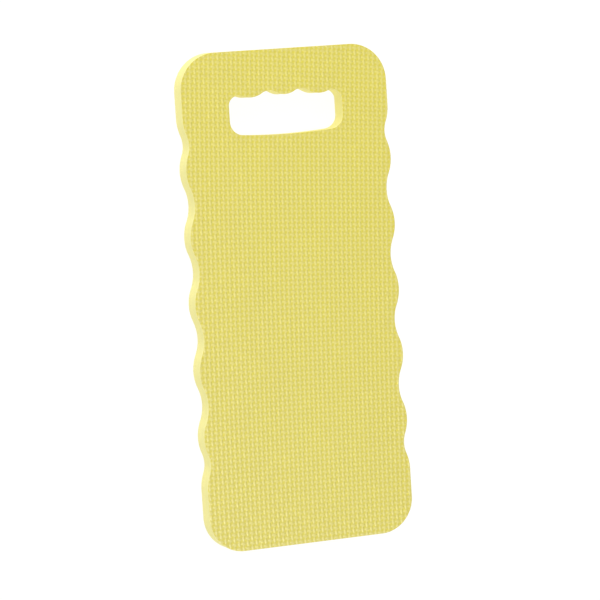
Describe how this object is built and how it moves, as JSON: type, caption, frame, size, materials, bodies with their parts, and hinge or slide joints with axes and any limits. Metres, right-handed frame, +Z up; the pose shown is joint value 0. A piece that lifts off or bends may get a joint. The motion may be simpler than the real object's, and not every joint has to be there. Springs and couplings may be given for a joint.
{
  "type": "kneeling pad",
  "caption": "Flat rectangular foam kneeling pad with scalloped long sides, a woven-look embossed surface and a hand hole with finger bumps at one end.",
  "frame": {"origin": "middle of the underside, with the pad lying flat", "axes": "+Z up through the thickness, +Y along the length towards the hand hole, +X across the width"},
  "size_m": [0.175, 0.4, 0.0175],
  "materials": {
    "foam_core": "matt",
    "foam_skin": "matt embossed"
  },
  "bodies": {
    "root": {"bottom_skin": "foam_skin", "foam_core": "foam_core", "top_skin": "foam_skin"}
  },
  "joints": []
}
